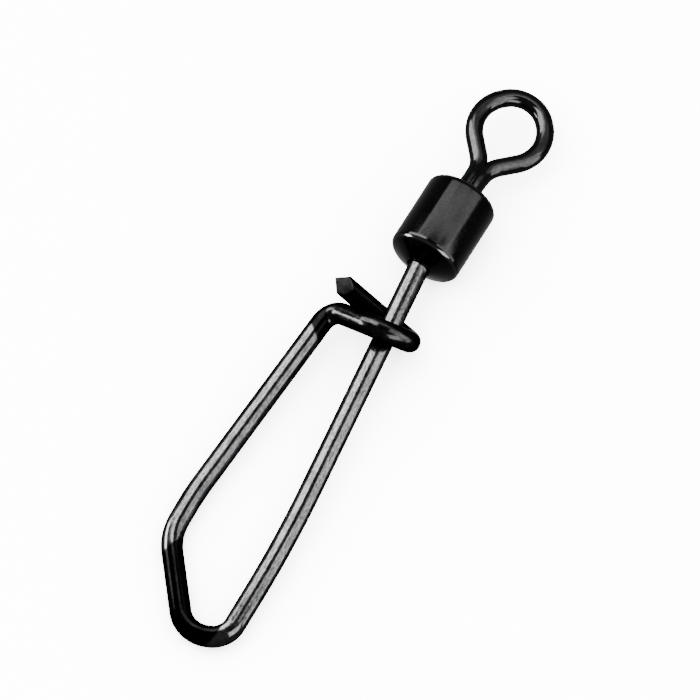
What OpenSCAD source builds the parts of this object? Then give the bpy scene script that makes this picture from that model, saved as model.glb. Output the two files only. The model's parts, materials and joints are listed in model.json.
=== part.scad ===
// Rolling swivel with a hooked wire snap, lying at rest.
// A brass barrel holds two wires by their upset heads: an eye on one side, a hooked snap on the other.
// The origin is the middle of its box, on the surface it rests on. +X points from the snap to the eye, +Z is up.

/* [Barrel] */
// Outside diameter of the barrel
barrel_d = 4.85; // [4.2:0.05:6]
// Length of the barrel's straight side
barrel_side = 4.6; // [3.8:0.1:8]
// Wall of the tube
barrel_wall = 0.6; // [0.4:0.05:0.8]
// Radius of the rolled shoulder at each end
shoulder_r = 0.45; // [0.3:0.05:0.6]
// Slope of the rolled ends, from a flat face
end_slope = 25; // [10:1:35]

/* [Eye] */
// Diameter of the eye's wire
eye_wire_d = 1.19; // [0.9:0.01:1.3]
// Half the ring's width, at the middle of the wire
ring_half = 2.2; // [2:0.05:3.2]
// Radius of the ring's two sides, a little flatter than its top
ring_side_r = 2.6; // [2.4:0.05:3.4]
// Angle at which each tail leaves the shank
tail_angle = 42; // [35:0.5:48]
// Radius of the bend between the shank and a tail
tail_bend_r = 2.05; // [1.4:0.05:2.2]
// Diameter of the round shank that the two tails are pressed into
eye_shank_d = 1.64; // [1.4:0.02:1.7]
// Length of the shank outside the barrel, up to where the tails part
eye_neck = 1.15; // [0.6:0.05:4]

/* [Snap] */
// Diameter of the snap's wire
snap_wire_d = 1.44; // [1.2:0.02:1.46]
// Straight part of the leg, outside the barrel
leg_length = 17.5; // [15:0.1:24]
// Length of the side that closes the loop's lower corner
corner_side = 4.35; // [3.5:0.05:6]
// Straight part of the spring side, between its set and the hook's shoulder
spring_side = 13.65; // [12:0.05:18]
// Length of the strand that crosses in front of the leg
crossing = 2.15; // [1.9:0.05:3]
// Length of the free tail behind the leg
tail_length = 4.65; // [2:0.05:6]
// Angle of the cuts that pinch off the tail's tip, from the wire
pinch_angle = 46; // [35:1:60]
// Slant of the break between the two cuts, from the wire
break_angle = 27; // [20:1:60]

/* [Swivel] */
// Diameter of the upset head on each wire, inside the barrel
head_d = 2.5; // [2.1:0.05:2.7]
// Thickness of a head
head_h = 0.8; // [0.5:0.05:1.1]
// Gap round each shank in its hole
hole_gap = 0.07; // [0.05:0.01:0.1]

/* [Hidden] */
$fn = 64;

// The barrel's middle, from the middle of the whole object's box
barrel_x = 11.07;
barrel_y = -1.22;

// The rest pose. Each shank leans a little in its hole: swing to the side, droop towards the floor.
snap_swing = 5.7;
snap_droop = 2.65;
snap_roll = 4;
eye_swing = -2;
eye_droop = 2;
eye_roll = 9.8;

// Barrel, from its middle along the axis
barrel_r = barrel_d / 2;
side_x = barrel_side / 2;
shoulder_turn_r = barrel_r - shoulder_r;
slope_r = shoulder_turn_r + shoulder_r * sin(end_slope);
slope_x = side_x + shoulder_r * cos(end_slope);
function face_x(r) = slope_x + (slope_r - r) * tan(end_slope);
bore_r = barrel_r - barrel_wall;
function cavity_x(r) = face_x(r) - barrel_wall / cos(end_slope);
eye_hole_r = eye_shank_d / 2 + hole_gap;
snap_hole_r = snap_wire_d / 2 + hole_gap;
pivot_x = (face_x(snap_hole_r) + cavity_x(snap_hole_r)) / 2;

// Each head sits far enough inside for its rim to clear the end at the lean of its shank
head_lean = 7;
head_depth = pivot_x - cavity_x(head_d / 2) + head_d / 2 * sin(head_lean) + hole_gap;

shank_inside = head_depth + head_h / 4;
lip = face_x(snap_hole_r) - pivot_x;

// Straight wire is a hair thinner than the bends and runs a little way into them, so the two join cleanly
straight_share = 0.995;
overlap = 0.05;
min_straight = 0.12;

// The eye's wire: out of the shank along one tail, round the ring, and back along the other tail
top_half_turn = 45;
side_turn = tail_angle + 90 - top_half_turn;
ring_top_r = ring_side_r - (ring_side_r - ring_half) / cos(top_half_turn);
tail_proud = 0.07;
tail_offset = (eye_shank_d - eye_wire_d) / 2 + tail_proud;
tail_overlap = 0.4;
tail_straight = (ring_side_r * cos(tail_angle) - (ring_side_r - ring_half) + min_straight * cos(top_half_turn)
    - tail_offset - tail_bend_r * (1 - cos(tail_angle))) / sin(tail_angle);
EYE_RUN = [
    [tail_overlap, 0, tail_angle, tail_bend_r],
    [tail_straight, 180, side_turn, ring_side_r],
    [min_straight, 0, 2 * top_half_turn, ring_top_r],
    [min_straight, 0, side_turn, ring_side_r],
    [tail_straight, 180, tail_angle, tail_bend_r],
    [tail_overlap, 0, 0, 0]
];

// The snap's wire as a run of steps: feed, roll about the wire, bend angle, bend radius
bow_r = 87;
corner_in = 2.65;
corner_r = 1.55;
corner_middle = 0.1;
corner_out_r = 2.2;
set_r = 4;
set_length = 1;
set_end_r = 20;
shoulder_bend_r = 1.03;
hook_bends = 6;
hook_turn = 222;
hook_r = 1.63;
hook_first_roll = 1.4;
hook_last_roll = 6.7;
BOW = [shank_inside + lip + leg_length, 0, 5.3, bow_r];
CORNER = [[corner_in, 0, 73.4, corner_r], [corner_middle, 0, 70.8, corner_out_r]];
SET = [[corner_side, 0, 34.8, set_r], [set_length, 0, 6, set_end_r]];
SHOULDER = [[spring_side, -25.8, 95, shoulder_bend_r], [crossing, 111.5, 0, 0]];
HOOK = [for (i = [1:hook_bends])
    [min_straight, i <= hook_bends / 2 ? hook_first_roll : hook_last_roll, hook_turn / hook_bends, hook_r]];
TAIL = [[tail_length, 0, 0, 0]];
pinch_roll = 88;
SNAP_RUN = concat([BOW], CORNER, SET, SHOULDER, HOOK, TAIL);

// One straight piece of wire along +Z, from 0 to h, run a little past each bend that it meets
module straight(d, h, before, after) {
    translate([0, 0, before ? -overlap : 0])
        cylinder(d = d * straight_share, h = h + (before ? overlap : 0) + (after ? overlap : 0));
}

// One bend of wire that starts at the origin along +Z and turns towards +X
module bend(d, angle, r) {
    translate([r, 0, 0]) rotate([90, 0, 0]) rotate([0, 0, 180 - angle])
        rotate_extrude(angle = angle) translate([r, 0]) circle(d = d);
}

// Moves its children to the end of a bend
module after_bend(angle, r) {
    translate([r, 0, 0]) rotate([0, angle, 0]) translate([-r, 0, 0]) children();
}

// The last piece of wire, cut off by two pinching blades and a slanted break between them
module pinched_end(d, h) {
    reach = 2 * d;
    difference() {
        straight(d, h, true, false);
        translate([0, 0, h]) rotate([0, 0, pinch_roll]) {
            for (side = [0, 180]) rotate([0, 0, side]) rotate([0, pinch_angle, 0])
                translate([-reach, -reach, 0]) cube([2 * reach, 2 * reach, reach]);
            rotate([90 - break_angle, 0, 0]) translate([-reach, -reach, 0]) cube([2 * reach, 2 * reach, reach]);
        }
    }
}

// Wire laid step by step, the way a wire bender feeds, rolls and bends it
module wire_run(d, run, pinched = false, i = 0) {
    feed = run[i][0];
    bends = run[i][2] > 0;
    last = i == len(run) - 1;
    if (last && pinched) pinched_end(d, feed);
    if (!last || !pinched) straight(d, feed, i > 0, !last);
    translate([0, 0, feed]) rotate([0, 0, run[i][1]]) {
        if (bends) bend(d, run[i][2], run[i][3]);
        if (!last && bends) after_bend(run[i][2], run[i][3]) wire_run(d, run, pinched, i + 1);
        if (!last && !bends) wire_run(d, run, pinched, i + 1);
    }
}

// An upset head on the end of a shank, with its flat side at the origin and its dome towards -Z
module head() {
    rotate_extrude() {
        translate([0, -head_h / 2]) square([head_d / 2, head_h / 2]);
        polygon([[0, -head_h], [head_d / 4, -head_h], [head_d / 2, -head_h / 2], [0, -head_h / 2]]);
    }
}

module barrel_half_profile() {
    difference() {
        union() {
            square([barrel_r, side_x]);
            translate([shoulder_turn_r, side_x]) circle(r = shoulder_r);
            polygon([[0, 0], [shoulder_turn_r, side_x], [slope_r, slope_x], [0, face_x(0)]]);
        }
        polygon([[0, -1], [bore_r, -1], [bore_r, cavity_x(bore_r)], [0, cavity_x(0)]]);
    }
}

module barrel() {
    color([0.09, 0.09, 0.1]) translate([barrel_x, barrel_y, barrel_r]) rotate([0, 90, 0]) difference() {
        rotate_extrude() union() {
            barrel_half_profile();
            mirror([0, 1]) barrel_half_profile();
        }
        cylinder(r = eye_hole_r, h = 2 * pivot_x);
        mirror([0, 0, 1]) cylinder(r = snap_hole_r, h = 2 * pivot_x);
    }
}

// Puts a shank that points along +Z on its hole's middle, with its lean and roll at rest.
// side is 1 for the eye's end and -1 for the snap's.
module place(side, swing, droop, roll) {
    translate([barrel_x + side * pivot_x, barrel_y, barrel_r]) rotate([0, 0, swing]) rotate([0, side * droop, 0])
        rotate([0, side * 90, 0]) rotate([0, 0, 90 + roll]) children();
}

module eye() {
    color([0.08, 0.08, 0.09]) place(1, eye_swing, eye_droop, eye_roll) {
        translate([0, 0, -head_depth]) head();
        translate([0, 0, -shank_inside]) cylinder(d = eye_shank_d, h = shank_inside + lip + eye_neck);
        translate([tail_offset, 0, lip + eye_neck - tail_overlap]) wire_run(eye_wire_d, EYE_RUN);
    }
}

module snap() {
    color([0.1, 0.1, 0.11]) place(-1, snap_swing, snap_droop, snap_roll) {
        translate([0, 0, -head_depth]) head();
        translate([0, 0, -shank_inside]) wire_run(snap_wire_d, SNAP_RUN, true);
    }
}

barrel();
eye();
snap();
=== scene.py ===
# Looks of a rolling swivel with a hooked wire snap, both in black nickel.
import json
import math

import bmesh
import bpy
import numpy as np
from mathutils import Matrix, Vector


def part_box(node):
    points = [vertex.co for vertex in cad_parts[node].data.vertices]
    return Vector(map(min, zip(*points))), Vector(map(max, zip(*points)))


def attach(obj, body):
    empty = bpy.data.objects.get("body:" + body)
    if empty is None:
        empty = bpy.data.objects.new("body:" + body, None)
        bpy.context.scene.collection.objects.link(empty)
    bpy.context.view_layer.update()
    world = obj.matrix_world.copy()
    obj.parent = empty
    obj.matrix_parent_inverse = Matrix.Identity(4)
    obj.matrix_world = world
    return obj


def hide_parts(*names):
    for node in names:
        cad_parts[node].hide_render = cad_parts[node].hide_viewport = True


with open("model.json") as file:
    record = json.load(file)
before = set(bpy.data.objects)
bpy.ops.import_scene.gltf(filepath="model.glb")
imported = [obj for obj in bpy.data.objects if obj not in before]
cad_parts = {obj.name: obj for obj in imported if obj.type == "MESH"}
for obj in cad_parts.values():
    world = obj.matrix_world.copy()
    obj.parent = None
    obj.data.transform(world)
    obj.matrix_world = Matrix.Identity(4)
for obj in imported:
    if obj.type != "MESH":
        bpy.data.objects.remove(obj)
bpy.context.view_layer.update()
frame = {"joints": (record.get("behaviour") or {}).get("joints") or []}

MM = 0.001

# Barrel, in millimetres and degrees
BARREL_SIDE = 4.6
BARREL_WALL = 0.6
SHOULDER_R = 0.45
END_SLOPE = 25
HOLE_ROUND = 0.08
HOLE_CHAMFER = 0.05

# The eye's wire
EYE_WIRE_D = 1.19
RING_HALF = 2.2
RING_SIDE_R = 2.6
TAIL_ANGLE = 42
TAIL_BEND_R = 2.05
EYE_SHANK_D = 1.64
EYE_NECK = 1.15
EYE_ROLL = 9.8
TAIL_PROUD = 0.07
TOP_HALF_TURN = 45
MIN_STRAIGHT = 0.12

# The snap's wire
SNAP_WIRE_D = 1.44
SNAP_ROLL = 4
LEG_LENGTH = 17.5
BOW_TURN, BOW_R = 5.3, 87
CORNER_IN = 2.65
CORNER_TURN, CORNER_R = 73.4, 1.55
CORNER_MIDDLE = 0.1
CORNER_OUT_TURN, CORNER_OUT_R = 70.8, 2.2
CORNER_SIDE = 4.35
SET_TURN, SET_R = 34.8, 4
SET_LENGTH = 1
SET_END_TURN, SET_END_R = 6, 20
SPRING_SIDE = 13.65
SHOULDER_ROLL, SHOULDER_TURN, SHOULDER_BEND_R = -25.8, 95, 1.03
CROSSING = 2.15
CROSSING_ROLL = 111.5
HOOK_TURN, HOOK_R = 222, 1.63
HOOK_BENDS = 6
HOOK_ROLLS = (1.4, 6.7)
TAIL_LENGTH = 4.65
PINCH_ANGLE = 46
BREAK_ANGLE = 27
PINCH_ROLL = 88

# Heads inside the barrel and the gap round each shank
HEAD_D = 2.5
HEAD_H = 0.8
HOLE_GAP = 0.07
HEAD_LEAN = 7

# Wires are drawn a hair thin, so that the object stays inside the box of its construction
WIRE_SHARE = 0.995

# Barrel, from its middle along the axis
barrel_low, barrel_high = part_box("barrel")
barrel_middle = (barrel_low + barrel_high) / 2
barrel_r = (barrel_high.z - barrel_low.z) / 2 / MM
side_x = BARREL_SIDE / 2
slope_tan = math.tan(math.radians(END_SLOPE))
shoulder_turn_r = barrel_r - SHOULDER_R
slope_r = shoulder_turn_r + SHOULDER_R * math.sin(math.radians(END_SLOPE))
slope_x = side_x + SHOULDER_R * math.cos(math.radians(END_SLOPE))
bore_r = barrel_r - BARREL_WALL


def face_x(r):
    """How far out the barrel's end face lies at a radius."""
    return slope_x + (slope_r - r) * slope_tan


def cavity_x(r):
    """How far out the end of the cavity lies at a radius."""
    return face_x(r) - BARREL_WALL / math.cos(math.radians(END_SLOPE))


eye_hole_r = EYE_SHANK_D / 2 + HOLE_GAP
snap_hole_r = SNAP_WIRE_D / 2 + HOLE_GAP
pivot_x = (face_x(snap_hole_r) + cavity_x(snap_hole_r)) / 2
head_depth = pivot_x - cavity_x(HEAD_D / 2) + HEAD_D / 2 * math.sin(math.radians(HEAD_LEAN)) + HOLE_GAP
shank_inside = head_depth + HEAD_H / 4
lip = face_x(snap_hole_r) - pivot_x

# Wire runs: feed, roll about the wire, bend angle, bend radius
side_turn = TAIL_ANGLE + 90 - TOP_HALF_TURN
top_cos = math.cos(math.radians(TOP_HALF_TURN))
ring_top_r = RING_SIDE_R - (RING_SIDE_R - RING_HALF) / top_cos
tail_offset = (EYE_SHANK_D - EYE_WIRE_D) / 2 + TAIL_PROUD
tail_sin, tail_cos = math.sin(math.radians(TAIL_ANGLE)), math.cos(math.radians(TAIL_ANGLE))
tail_straight = (RING_SIDE_R * tail_cos - (RING_SIDE_R - RING_HALF) + MIN_STRAIGHT * top_cos
                 - tail_offset - TAIL_BEND_R * (1 - tail_cos)) / tail_sin
shank_feed = shank_inside + lip + EYE_NECK
hook_step = HOOK_TURN / HOOK_BENDS
EYE_RUN = [
    (shank_feed, 0, TAIL_ANGLE, TAIL_BEND_R),
    (tail_straight, 180, side_turn, RING_SIDE_R),
    (MIN_STRAIGHT, 0, 2 * TOP_HALF_TURN, ring_top_r),
    (MIN_STRAIGHT, 0, side_turn, RING_SIDE_R),
    (tail_straight, 180, TAIL_ANGLE, TAIL_BEND_R),
    (shank_feed, 0, 0, 0),
]
SNAP_RUN = [
    (shank_inside + lip + LEG_LENGTH, 0, BOW_TURN, BOW_R),
    (CORNER_IN, 0, CORNER_TURN, CORNER_R),
    (CORNER_MIDDLE, 0, CORNER_OUT_TURN, CORNER_OUT_R),
    (CORNER_SIDE, 0, SET_TURN, SET_R),
    (SET_LENGTH, 0, SET_END_TURN, SET_END_R),
    (SPRING_SIDE, SHOULDER_ROLL, SHOULDER_TURN, SHOULDER_BEND_R),
    (CROSSING, CROSSING_ROLL, 0, 0),
    *[(MIN_STRAIGHT, HOOK_ROLLS[0], hook_step, HOOK_R)] * (HOOK_BENDS // 2),
    *[(MIN_STRAIGHT, HOOK_ROLLS[1], hook_step, HOOK_R)] * (HOOK_BENDS // 2),
    (TAIL_LENGTH, 0, 0, 0),
]


def lay_wire(run, start, spacing=0.05):
    """Follows a run of steps from a start point along +Z. Gives the wire's middle line and the frame at its end."""
    at, along, bend_way = Vector(start), Vector((0, 0, 1)), Vector((1, 0, 0))
    points = [at.copy()]
    for feed, roll, angle, radius in run:
        pieces = max(1, round(feed / spacing))
        points += [at + along * feed * i / pieces for i in range(1, pieces + 1)]
        at = points[-1].copy()
        bend_way = Matrix.Rotation(math.radians(roll), 3, along) @ bend_way
        if angle:
            centre = at + bend_way * radius
            axis = along.cross(bend_way)
            pieces = max(2, math.ceil(math.radians(angle) * radius / spacing))
            for i in range(1, pieces + 1):
                turn = Matrix.Rotation(math.radians(angle) * i / pieces, 3, axis)
                points.append(centre + turn @ (at - centre))
            at = points[-1].copy()
            along, bend_way = turn @ along, turn @ bend_way
    return points, (at, along, bend_way)


def wire_place(joint_name, side, roll):
    """The matrix that puts a shank which points along +Z, in millimetres, on its joint. side is 1 or -1."""
    joint = next(j for j in frame["joints"] if j["name"] == joint_name)
    along = Vector(joint["axis"]).normalized()
    level = Vector((0, 0, 1)).cross(along).normalized()
    bend_way = side * (level * math.cos(math.radians(roll)) + along.cross(level) * math.sin(math.radians(roll)))
    turn = Matrix((bend_way, along.cross(bend_way), along)).transposed()
    return Matrix.Translation(joint["pos_m"]) @ turn.to_4x4() @ Matrix.Scale(MM, 4)


def new_piece(name, mesh):
    """Links a mesh as an object of that name."""
    piece = bpy.data.objects.new(name, mesh)
    bpy.context.scene.collection.objects.link(piece)
    return piece


def line_piece(name, points):
    """A piece that is so far only the middle line of a wire, in metres."""
    mesh = bpy.data.meshes.new(name)
    edges = [(i, i + 1) for i in range(len(points) - 1)]
    mesh.from_pydata([p * MM for p in points], edges, [])
    return new_piece(name, mesh)


def node(tree, kind, **values):
    """Adds a node and sets its properties, or its inputs by name."""
    made = tree.nodes.new(kind)
    for key, value in values.items():
        if hasattr(made, key):
            setattr(made, key, value)
        else:
            made.inputs[key.replace("_", " ")].default_value = value
    return made


def maths(tree, operation, first, second=None):
    """A maths node between two sockets or numbers, and its output."""
    made = tree.nodes.new("ShaderNodeMath")
    made.operation = operation
    for socket, value in zip(made.inputs, (first, second)):
        if isinstance(value, bpy.types.NodeSocket):
            tree.links.new(value, socket)
        elif value is not None:
            socket.default_value = value
    return made.outputs[0]


def drawn_wire_tree():
    """Geometry Nodes that turn a middle line into round wire, with the place along and round it in wire_way."""
    tree = bpy.data.node_groups.new("drawn_wire", "GeometryNodeTree")
    face = tree.interface
    face.new_socket("Line", in_out="INPUT", socket_type="NodeSocketGeometry")
    for name, kind in (("Wire diameter", "Float"), ("Spacing", "Float"), ("Sides", "Int"), ("Finish", "Material")):
        face.new_socket(name, in_out="INPUT", socket_type="NodeSocket" + kind)
    face.new_socket("Wire", in_out="OUTPUT", socket_type="NodeSocketGeometry")
    link = tree.links.new
    given = tree.nodes.new("NodeGroupInput")
    curve = tree.nodes.new("GeometryNodeMeshToCurve")
    spaced = node(tree, "GeometryNodeResampleCurve", mode="LENGTH")
    link(given.outputs["Line"], curve.inputs["Mesh"])
    link(curve.outputs["Curve"], spaced.inputs["Curve"])
    link(given.outputs["Spacing"], spaced.inputs["Length"])

    place = tree.nodes.new("GeometryNodeSplineParameter")
    along = node(tree, "GeometryNodeStoreNamedAttribute", data_type="FLOAT", domain="POINT", Name="along")
    link(spaced.outputs["Curve"], along.inputs["Geometry"])
    link(place.outputs["Length"], along.inputs["Value"])

    radius = maths(tree, "DIVIDE", given.outputs["Wire diameter"], 2.0)
    ring = node(tree, "GeometryNodeCurvePrimitiveCircle", mode="RADIUS")
    link(given.outputs["Sides"], ring.inputs["Resolution"])
    link(radius, ring.inputs["Radius"])
    ring_place = tree.nodes.new("GeometryNodeInputPosition")
    ring_way = node(tree, "GeometryNodeStoreNamedAttribute", data_type="FLOAT_VECTOR", domain="POINT", Name="round_way")
    link(ring.outputs["Curve"], ring_way.inputs["Geometry"])
    link(ring_place.outputs["Position"], ring_way.inputs["Value"])

    swept = node(tree, "GeometryNodeCurveToMesh")
    swept.inputs["Fill Caps"].default_value = True
    link(along.outputs["Geometry"], swept.inputs["Curve"])
    link(ring_way.outputs["Geometry"], swept.inputs["Profile Curve"])

    read_along = node(tree, "GeometryNodeInputNamedAttribute", data_type="FLOAT", Name="along")
    read_round = node(tree, "GeometryNodeInputNamedAttribute", data_type="FLOAT_VECTOR", Name="round_way")
    split = tree.nodes.new("ShaderNodeSeparateXYZ")
    joined = tree.nodes.new("ShaderNodeCombineXYZ")
    link(read_round.outputs["Attribute"], split.inputs[0])
    link(maths(tree, "DIVIDE", read_along.outputs["Attribute"], MM), joined.inputs["X"])
    link(maths(tree, "DIVIDE", split.outputs["X"], MM), joined.inputs["Y"])
    link(maths(tree, "DIVIDE", split.outputs["Y"], MM), joined.inputs["Z"])
    way = node(tree, "GeometryNodeStoreNamedAttribute", data_type="FLOAT_VECTOR", domain="POINT", Name="wire_way")
    link(swept.outputs["Mesh"], way.inputs["Geometry"])
    link(joined.outputs["Vector"], way.inputs["Value"])

    real = tree.nodes.new("GeometryNodeRealizeInstances")
    finish = tree.nodes.new("GeometryNodeSetMaterial")
    result = tree.nodes.new("NodeGroupOutput")
    link(way.outputs["Geometry"], real.inputs["Geometry"])
    link(real.outputs["Geometry"], finish.inputs["Geometry"])
    link(given.outputs["Finish"], finish.inputs["Material"])
    link(finish.outputs["Geometry"], result.inputs["Wire"])
    return tree


def run_tree(piece, tree, values):
    """Applies a Geometry Nodes tree with named inputs and leaves the plain mesh."""
    modifier = piece.modifiers.new(tree.name, "NODES")
    modifier.node_group = tree
    for item in tree.interface.items_tree:
        if item.in_out == "INPUT" and item.name in values:
            modifier[item.identifier] = values[item.name]
    piece.update_tag()
    graph = bpy.context.evaluated_depsgraph_get()
    mesh = bpy.data.meshes.new_from_object(piece.evaluated_get(graph), preserve_all_data_layers=True, depsgraph=graph)
    piece.modifiers.clear()
    piece.data = mesh
    return piece


def get_points(mesh):
    """The vertices of a mesh as rows."""
    flat = np.empty(len(mesh.vertices) * 3)
    mesh.vertices.foreach_get("co", flat)
    return flat.reshape(-1, 3)


def set_points(mesh, rows):
    """Writes the rows back as the vertices of a mesh."""
    mesh.vertices.foreach_set("co", np.ascontiguousarray(rows, np.float32).ravel())
    mesh.update()


def smooth_step(value, low, high):
    """0 below low, 1 above high, and smooth between."""
    t = np.clip((value - low) / (high - low), 0, 1)
    return t * t * (3 - 2 * t)


def outward(mesh, sharp_angle=40):
    """Merges doubles, turns the faces outwards and shades smooth apart from sharp edges."""
    shell = bmesh.new()
    shell.from_mesh(mesh)
    bmesh.ops.remove_doubles(shell, verts=shell.verts, dist=1e-7)
    bmesh.ops.recalc_face_normals(shell, faces=shell.faces)
    shell.to_mesh(mesh)
    shell.free()
    mesh.polygons.foreach_set("use_smooth", [True] * len(mesh.polygons))
    mesh.set_sharp_from_angle(angle=math.radians(sharp_angle))


def arc(centre, radius, start, end, pieces):
    """Points of an arc, from one angle to another in degrees."""
    turns = [math.radians(start + (end - start) * i / pieces) for i in range(pieces + 1)]
    return [(centre[0] + radius * math.cos(t), centre[1] + radius * math.sin(t)) for t in turns]


def turned_mesh(name, profile, segments, closed):
    """Turns a profile of (along, radius) about the X axis. An open profile starts and ends on the axis."""
    shell = bmesh.new()
    rings = []
    for along, radius in profile:
        if radius < 1e-9:
            rings.append([shell.verts.new((along, 0, 0))])
            continue
        turns = [2 * math.pi * i / segments for i in range(segments)]
        rings.append([shell.verts.new((along, radius * math.cos(t), radius * math.sin(t))) for t in turns])
    pairs = list(zip(rings, rings[1:])) + ([(rings[-1], rings[0])] if closed else [])
    for one, other in pairs:
        for i in range(segments):
            j = (i + 1) % segments
            corners = [one[i % len(one)], one[j % len(one)], other[j % len(other)], other[i % len(other)]]
            shell.faces.new(list(dict.fromkeys(corners)))
    mesh = bpy.data.meshes.new(name)
    shell.to_mesh(mesh)
    shell.free()
    return mesh


# Finishes
def speckle_group():
    """Shared: fine blotches of a plated surface. Gives a mask, a roughness and a height."""
    tree = bpy.data.node_groups.new("plating_speckle", "ShaderNodeTree")
    face = tree.interface
    face.new_socket("Coordinates", in_out="INPUT", socket_type="NodeSocketVector")
    for name, value in (("Grain", 6.0), ("Patches", 1.2), ("Smoothest", 0.2), ("Roughest", 0.4)):
        face.new_socket(name, in_out="INPUT", socket_type="NodeSocketFloat").default_value = value
    for name in ("Mask", "Roughness", "Height"):
        face.new_socket(name, in_out="OUTPUT", socket_type="NodeSocketFloat")
    link = tree.links.new
    given = tree.nodes.new("NodeGroupInput")
    fine = node(tree, "ShaderNodeTexNoise", Detail=4.0, Roughness=0.6)
    broad = node(tree, "ShaderNodeTexNoise", Detail=2.0, Roughness=0.5)
    for noise, scale in ((fine, "Grain"), (broad, "Patches")):
        link(given.outputs["Coordinates"], noise.inputs["Vector"])
        link(given.outputs[scale], noise.inputs["Scale"])
    both = maths(tree, "ADD", maths(tree, "MULTIPLY", fine.outputs["Fac"], 0.65),
                 maths(tree, "MULTIPLY", broad.outputs["Fac"], 0.35))
    spread = node(tree, "ShaderNodeMapRange", interpolation_type="SMOOTHSTEP")
    spread.inputs["From Min"].default_value = 0.36
    spread.inputs["From Max"].default_value = 0.64
    link(both, spread.inputs["Value"])
    rough = node(tree, "ShaderNodeMapRange")
    link(spread.outputs["Result"], rough.inputs["Value"])
    link(given.outputs["Smoothest"], rough.inputs["To Min"])
    link(given.outputs["Roughest"], rough.inputs["To Max"])
    result = tree.nodes.new("NodeGroupOutput")
    link(spread.outputs["Result"], result.inputs["Mask"])
    link(rough.outputs["Result"], result.inputs["Roughness"])
    link(fine.outputs["Fac"], result.inputs["Height"])
    return tree


def run_length(run, steps):
    """The length of wire in the first steps of a run."""
    return sum(feed + math.radians(angle) * radius for feed, _, angle, radius in run[:steps])


def band_mask(tree, along, slant, first, last, blur):
    """1 between two places along the piece and 0 outside. Each edge is a place and how far it leans round the wire."""
    masks = []
    for (place, lean), values in ((first, (0, 1)), (last, (1, 0))):
        leaning = maths(tree, "ADD", along, maths(tree, "MULTIPLY", slant, lean))
        ramp = node(tree, "ShaderNodeMapRange", interpolation_type="SMOOTHSTEP")
        tree.links.new(leaning, ramp.inputs["Value"])
        ramp.inputs["From Min"].default_value = place - blur
        ramp.inputs["From Max"].default_value = place + blur
        ramp.inputs["To Min"].default_value, ramp.inputs["To Max"].default_value = values
        masks.append(ramp.outputs["Result"])
    return maths(tree, "MULTIPLY", *masks)


def plated_finish(name, dark, light, grain, patches, roughness, bump, rim=0.35, stretch=1.0, attribute=None,
                  runs=(), rest=1.0, blur=0.12, middle=0.0):
    """A black nickel finish: two greys in fine blotches, with their own gloss and a fine bump.

    Coordinates are in millimetres, from the wire_way attribute or from the object's own place. Each run has two edges
    along the piece and a share of the greys' strength, and everything else has the share called rest. Without an
    attribute, the runs are measured both ways from the middle along X."""
    finish = bpy.data.materials.new(name)
    finish.use_nodes = True
    tree = finish.node_tree
    link = tree.links.new
    surface = tree.nodes["Principled BSDF"]
    surface.inputs["Metallic"].default_value = 1.0
    surface.inputs["Specular Tint"].default_value = (rim, rim, rim, 1)
    place = node(tree, "ShaderNodeMapping")
    if attribute:
        source = node(tree, "ShaderNodeAttribute", attribute_name=attribute)
        link(source.outputs["Vector"], place.inputs["Vector"])
        place.inputs["Scale"].default_value = (1 / stretch, 1, 1)
    else:
        source = tree.nodes.new("ShaderNodeTexCoord")
        link(source.outputs["Object"], place.inputs["Vector"])
        place.inputs["Scale"].default_value = (1 / MM / stretch, 1 / MM, 1 / MM)
    speckle = tree.nodes.new("ShaderNodeGroup")
    speckle.node_tree = bpy.data.node_groups["plating_speckle"]
    speckle.inputs["Grain"].default_value = grain
    speckle.inputs["Patches"].default_value = patches
    speckle.inputs["Smoothest"].default_value, speckle.inputs["Roughest"].default_value = roughness
    link(place.outputs["Vector"], speckle.inputs["Coordinates"])
    greys = node(tree, "ShaderNodeMix", data_type="RGBA")
    greys.inputs["A"].default_value = (*dark, 1)
    greys.inputs["B"].default_value = (*light, 1)
    link(speckle.outputs["Mask"], greys.inputs["Factor"])
    colour = greys.outputs["Result"]
    # The runs paint light into the colour: each band scales the greys brighter or darker, as painted highlight or
    # painted shade
    if runs:
        split = tree.nodes.new("ShaderNodeSeparateXYZ")
        along = split.outputs["X"]
        if attribute:
            link(source.outputs["Vector"], split.inputs[0])
        else:
            link(source.outputs["Object"], split.inputs[0])
            along = maths(tree, "ABSOLUTE", maths(tree, "SUBTRACT", maths(tree, "DIVIDE", along, MM), middle))
        share = rest
        for first, last, strength in runs:
            band = band_mask(tree, along, split.outputs["Y"], first, last, blur)
            share = maths(tree, "ADD", maths(tree, "MULTIPLY", band, strength - rest), share)
        shared = tree.nodes.new("ShaderNodeVectorMath")
        shared.operation = "SCALE"
        link(colour, shared.inputs[0])
        link(share, shared.inputs["Scale"])
        colour = shared.outputs["Vector"]
    link(colour, surface.inputs["Base Color"])
    link(speckle.outputs["Roughness"], surface.inputs["Roughness"])
    relief = node(tree, "ShaderNodeBump", Strength=1.0)
    relief.inputs["Distance"].default_value = bump * MM
    link(speckle.outputs["Height"], relief.inputs["Height"])
    link(relief.outputs["Normal"], surface.inputs["Normal"])
    return finish


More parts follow.
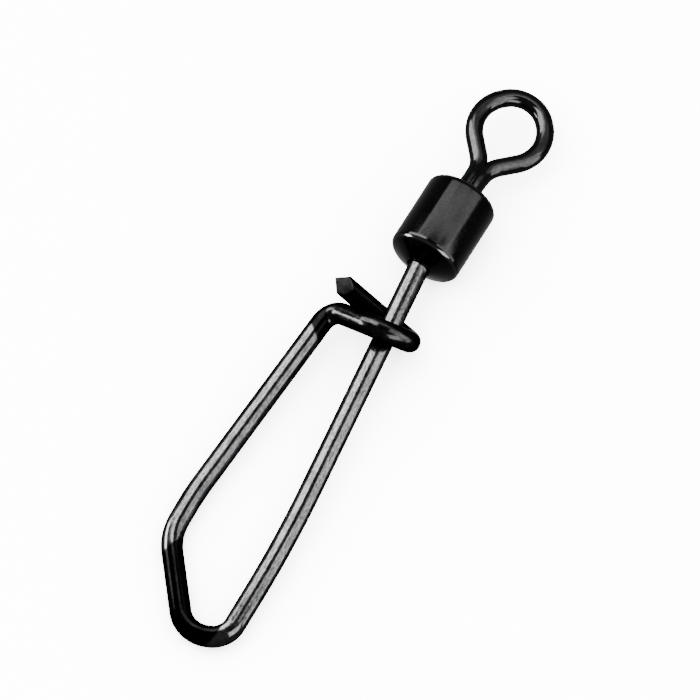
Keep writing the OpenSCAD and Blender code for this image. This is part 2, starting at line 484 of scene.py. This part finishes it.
# Pieces
def barrel_shell():
    """The rolled brass tube with its two closed-in ends."""
    def end(hole_r, way):
        """Half of the profile, from the shoulder over the end's hole to the cavity. way is 1 or -1."""
        points = arc((side_x, shoulder_turn_r), SHOULDER_R, 90, END_SLOPE, 14)
        lip_r = hole_r + HOLE_ROUND
        points += [(face_x(lip_r), lip_r)]
        points += arc((face_x(lip_r) - HOLE_ROUND, lip_r), HOLE_ROUND, END_SLOPE, -90, 6)[1:]
        chamfer_r = hole_r + HOLE_CHAMFER
        points += [(cavity_x(hole_r) + HOLE_CHAMFER, hole_r), (cavity_x(chamfer_r), chamfer_r)]
        points += [(cavity_x(bore_r), bore_r)]
        return [(way * x, r) for x, r in points]

    profile = end(eye_hole_r, 1) + end(snap_hole_r, -1)[::-1]
    mesh = turned_mesh("barrel_shell", [(x * MM, r * MM) for x, r in profile], 192, True)
    mesh.transform(Matrix.Translation(barrel_middle))
    outward(mesh)
    return new_piece("barrel_shell", mesh)


def upset_head():
    """The flattened end of a wire inside the barrel, with its flat side at the head's depth."""
    low = -head_depth - HEAD_H
    profile = [(low, 0), (low, HEAD_D / 4), (low + HEAD_H / 2, HEAD_D / 2), (-head_depth, HEAD_D / 2), (-head_depth, 0)]
    mesh = turned_mesh("upset_head", profile, 48, False)
    mesh.transform(Matrix.Rotation(math.radians(-90), 4, "Y"))
    return mesh


def join_head(piece, place):
    """Adds the upset head to a wire's own mesh."""
    head = upset_head()
    head.transform(place)
    shell = bmesh.new()
    shell.from_mesh(piece.data)
    shell.from_mesh(head)
    shell.to_mesh(piece.data)
    shell.free()
    bpy.data.meshes.remove(head)


def press_shank(mesh):
    """Presses the two tails of the eye together, each to half of a round shank, with a groove between them."""
    pressed_below, free_above = 0.7, 0.9
    edge, flat_in, groove = 0.13, 0.02, 0.012
    rows = get_points(mesh) / MM
    shank_r = EYE_SHANK_D / 2
    parting = lip + EYE_NECK
    share = 1 - smooth_step(rows[:, 2], parting - pressed_below, parting + free_above)
    side = np.sign(rows[:, 0])
    from_middle = rows[:, 0] - side * tail_offset
    turn = np.arctan2(rows[:, 1], from_middle * side)
    # A half-round section: the outer half follows the shank, the inner half is nearly flat
    outer_x = edge / 2 + (shank_r - edge / 2) * np.cos(turn)
    round_y = shank_r * np.sin(turn)
    flat_y = (shank_r - flat_in) * np.sin(turn)
    flat_x = groove + edge * np.abs(np.sin(turn)) ** 6
    inner = np.cos(turn) < 0
    new_x = np.where(inner, flat_x, np.maximum(outer_x, flat_x))
    new_y = np.where(inner, flat_y, round_y)
    keep = 1 - share
    rows[:, 0] = rows[:, 0] * keep + side * new_x * share
    rows[:, 1] = rows[:, 1] * keep + new_y * share
    set_points(mesh, rows * MM)


def eye_wire(tree, finish):
    """The eye: a ring of wire whose two tails are pressed into the shank."""
    points, end = lay_wire(EYE_RUN, (tail_offset, 0, -shank_inside))
    piece = line_piece("eye_wire", points)
    wire_d = EYE_WIRE_D * WIRE_SHARE * MM
    run_tree(piece, tree, {"Wire diameter": wire_d, "Spacing": 0.07 * MM, "Sides": 48, "Finish": finish})
    press_shank(piece.data)
    place = wire_place("eye_swivel", 1, EYE_ROLL)
    place_mm = place @ Matrix.Scale(1 / MM, 4)
    piece.data.transform(place_mm)
    join_head(piece, place)
    outward(piece.data)
    return piece


def pinch_tip(mesh, end):
    """Cuts the tail's tip with two slanted blade faces and a break between them."""
    at, along, bend_way = end
    bend_way = Matrix.Rotation(math.radians(PINCH_ROLL), 3, along) @ bend_way
    across = along.cross(bend_way)
    slant_sin, slant_cos = math.sin(math.radians(PINCH_ANGLE)), math.cos(math.radians(PINCH_ANGLE))
    cuts = [
        (at, bend_way * slant_sin + along * slant_cos),
        (at, bend_way * -slant_sin + along * slant_cos),
    ]
    break_sin, break_cos = math.sin(math.radians(BREAK_ANGLE)), math.cos(math.radians(BREAK_ANGLE))
    cuts.append((at, across * -break_cos + along * break_sin))
    shell = bmesh.new()
    shell.from_mesh(mesh)
    way = shell.verts.layers.float_vector["wire_way"]
    from_tip = max(v[way].x for v in shell.verts) - 2 * SNAP_WIRE_D
    for point, normal in cuts:
        near = [v for v in shell.verts if v[way].x > from_tip]
        near_set = set(near)
        faces = [f for f in shell.faces if any(v in near_set for v in f.verts)]
        edges = {e for f in faces for e in f.edges}
        cut = bmesh.ops.bisect_plane(shell, geom=near + list(edges) + faces, plane_co=point * MM, plane_no=normal,
                                     clear_outer=True, dist=1e-8)
        rim = [e for e in cut["geom_cut"] if isinstance(e, bmesh.types.BMEdge)]
        bmesh.ops.holes_fill(shell, edges=rim, sides=0)
    shell.to_mesh(mesh)
    shell.free()


def snap_wire(tree, finish):
    """The snap: leg, corner loop, spring side, shoulder, hook round the leg and pinched tail."""
    points, end = lay_wire(SNAP_RUN, (0, 0, -shank_inside))
    piece = line_piece("snap_wire", points)
    wire_d = SNAP_WIRE_D * WIRE_SHARE * MM
    run_tree(piece, tree, {"Wire diameter": wire_d, "Spacing": 0.08 * MM, "Sides": 56, "Finish": finish})
    pinch_tip(piece.data, end)
    place = wire_place("snap_swivel", -1, SNAP_ROLL)
    piece.data.transform(place @ Matrix.Scale(1 / MM, 4))
    join_head(piece, place)
    outward(piece.data)
    return piece


# Stage: floor, light and camera
ELEVATION = 60.4
AZIMUTH_TURN = 60.8
FRAME_WIDTH = 45.16
LENS = 1200
SENSOR = 36
AIM_RIGHT, AIM_UP = -6.012, -7.846
STRIP_AWAY = 48
AXIS_Z = 2
FLOOR_HALF = 3.0
DOME_STRENGTH = 14.0
DOME_IN_METAL = 0.3


def camera_axes():
    """Right, up and back of the camera."""
    e, turn = math.radians(ELEVATION), math.radians(AZIMUTH_TURN)
    right = Vector((math.cos(turn), -math.sin(turn), 0))
    ahead = Vector((math.sin(turn), math.cos(turn), 0))
    up = ahead * math.sin(e) + Vector((0, 0, math.cos(e)))
    return right, up, right.cross(up)


def place_camera():
    """A long lens from the photograph's side, looking down on the swivel."""
    right, up, back = camera_axes()
    data = bpy.data.cameras.new("photo_camera")
    data.lens, data.sensor_width = LENS, SENSOR
    camera = bpy.data.objects.new("photo_camera", data)
    bpy.context.scene.collection.objects.link(camera)
    aim = barrel_middle + (right * AIM_RIGHT + up * AIM_UP) * MM
    camera.location = aim + back * FRAME_WIDTH * MM * LENS / SENSOR
    camera.rotation_euler = Matrix((right, up, back)).transposed().to_euler()
    bpy.context.scene.camera = camera


def softbox(name, centre, aim, width, height, radiance, glossy_only=True):
    """A soft area light of a given radiance, in millimetres, that faces a point."""
    data = bpy.data.lights.new(name, "AREA")
    data.shape = "RECTANGLE"
    data.size, data.size_y = width * MM, height * MM
    data.energy = radiance * math.pi * data.size * data.size_y
    light = bpy.data.objects.new(name, data)
    bpy.context.scene.collection.objects.link(light)
    light.location = Vector(centre) * MM
    way = Vector(aim) - Vector(centre)
    light.rotation_euler = way.to_track_quat("-Z", "Y").to_euler()
    light.visible_camera = False
    light.visible_diffuse = not glossy_only
    return light


def studio():
    """Pale floor, a pale dome that dark metal doesn't mirror, and soft strips for the metal."""
    mesh = bpy.data.meshes.new("floor")
    corners = [(x * FLOOR_HALF, y * FLOOR_HALF, 0) for x, y in ((-1, -1), (1, -1), (1, 1), (-1, 1))]
    mesh.from_pydata(corners, [], [(0, 1, 2, 3)])
    floor = new_piece("floor", mesh)
    paint = bpy.data.materials.new("pale_floor")
    paint.use_nodes = True
    surface = paint.node_tree.nodes["Principled BSDF"]
    surface.inputs["Base Color"].default_value = (0.93, 0.93, 0.93, 1)
    surface.inputs["Roughness"].default_value = 0.9
    surface.inputs["Specular IOR Level"].default_value = 0.0
    mesh.materials.append(paint)
    floor.visible_glossy = False

    world = bpy.data.worlds.new("pale_dome")
    bpy.context.scene.world = world
    world.use_nodes = True
    tree = world.node_tree
    glow = tree.nodes["Background"]
    path = tree.nodes.new("ShaderNodeLightPath")
    for_metal = maths(tree, "MULTIPLY", path.outputs["Is Glossy Ray"], DOME_IN_METAL - DOME_STRENGTH)
    strength = maths(tree, "ADD", for_metal, DOME_STRENGTH)
    glow.inputs["Color"].default_value = (1, 1, 1, 1)
    tree.links.new(strength, glow.inputs["Strength"])

    # Each strip faces the part's long axis: its middle and width along it, two angles from above, and its radiance
    strips = (
        ("leg_far", 14, 29, -67, -9, 24.0),
        ("leg_near", 14.5, 30, 26, 99, 10.0),
        ("barrel_far", 34.1, 9, -42, -12, 9.0),
        ("barrel_top", 34.1, 9, -12, 25, 8.0),
        ("barrel_near", 34.1, 9, 25, 62, 7.0),
        ("eye_top", 51, 24, -42, 68, 1.4),
    )
    for name, x, width, start, stop, radiance in strips:
        turn, half = math.radians((start + stop) / 2), math.radians((stop - start) / 2)
        centre = (x, -STRIP_AWAY * math.sin(turn), AXIS_Z + STRIP_AWAY * math.cos(turn))
        softbox(name, centre, (x, 0, AXIS_Z), width, 2 * STRIP_AWAY * math.tan(half), radiance)
    softbox("hook_window", (-14, 43, 15), (2, 0, AXIS_Z), 22, 14, 55.0)
    softbox("end_window", (-16.5, -35.4, 18.4), (19.5, 0, AXIS_Z), 34, 22, 14.0)
    softbox("floor_light", (-60, 80, 260), (0, 0, 0), 200, 200, 12.0, glossy_only=False).visible_glossy = False


speckle_group()
wire_tree = drawn_wire_tree()

# A thin ring of each shoulder is painted five times brighter: a painted highlight along each shoulder's rim
barrel_finish = plated_finish("satin_black_nickel", (0.0075, 0.0075, 0.0077), (0.0115, 0.0115, 0.0118), 7.0, 1.0,
                              (0.08, 0.13), 0.001, 1.0, blur=0.05, middle=barrel_middle.x / MM,
                              runs=(((side_x + 0.2, 0), (side_x + 0.34, 0), 5.0),))
eye_finish = plated_finish("black_nickel_eye", (0.014, 0.014, 0.0144), (0.024, 0.024, 0.0245), 5.0, 1.4,
                           (0.09, 0.16), 0.003, 0.8, 1.6, "wire_way")

# The snap's colour is painted grey along the leg and the spring side and near black at the corner, shoulder and tail:
# painted sheen on the leg and spring side, painted shade at the corner, shoulder and tail
leg_end = run_length(SNAP_RUN, 1) + 3.9
spring_start = run_length(SNAP_RUN, 4) - 2.1
spring_end = run_length(SNAP_RUN, 5) + SPRING_SIDE - 0.9
shoulder_end = spring_end + 1.6
tail_start = run_length(SNAP_RUN, len(SNAP_RUN) - 1)
# Bands of painted sheen and painted shade: each scales the wire's colour between two places along it
snap_sheen_and_shade_runs = (
    ((-SPRING_SIDE, 0), (leg_end, 1.0), 1.0),
    ((leg_end, 1.0), (spring_start, -0.8), 0.035),
    ((spring_start, -0.8), (spring_end, 0.7), 0.85),
    ((spring_end, 0.7), (shoulder_end, 0.7), 0.03),
    ((tail_start, 0), (tail_start + TAIL_LENGTH + SNAP_WIRE_D, 0), 0.07),
)
snap_finish = plated_finish("black_nickel_drawn_wire", (0.021, 0.021, 0.0217), (0.066, 0.066, 0.067), 8.0, 1.6,
                            (0.12, 0.2), 0.002, 0.35, 2.2, "wire_way", snap_sheen_and_shade_runs, 0.32)

barrel = barrel_shell()
barrel.data.materials.append(barrel_finish)
eye = eye_wire(wire_tree, eye_finish)
snap = snap_wire(wire_tree, snap_finish)

for piece, body, slot_name in ((barrel, "barrel", "barrel"), (eye, "eye", "eye_wire"), (snap, "snap", "snap_wire")):
    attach(piece, body)
    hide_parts(body)

studio()
place_camera()
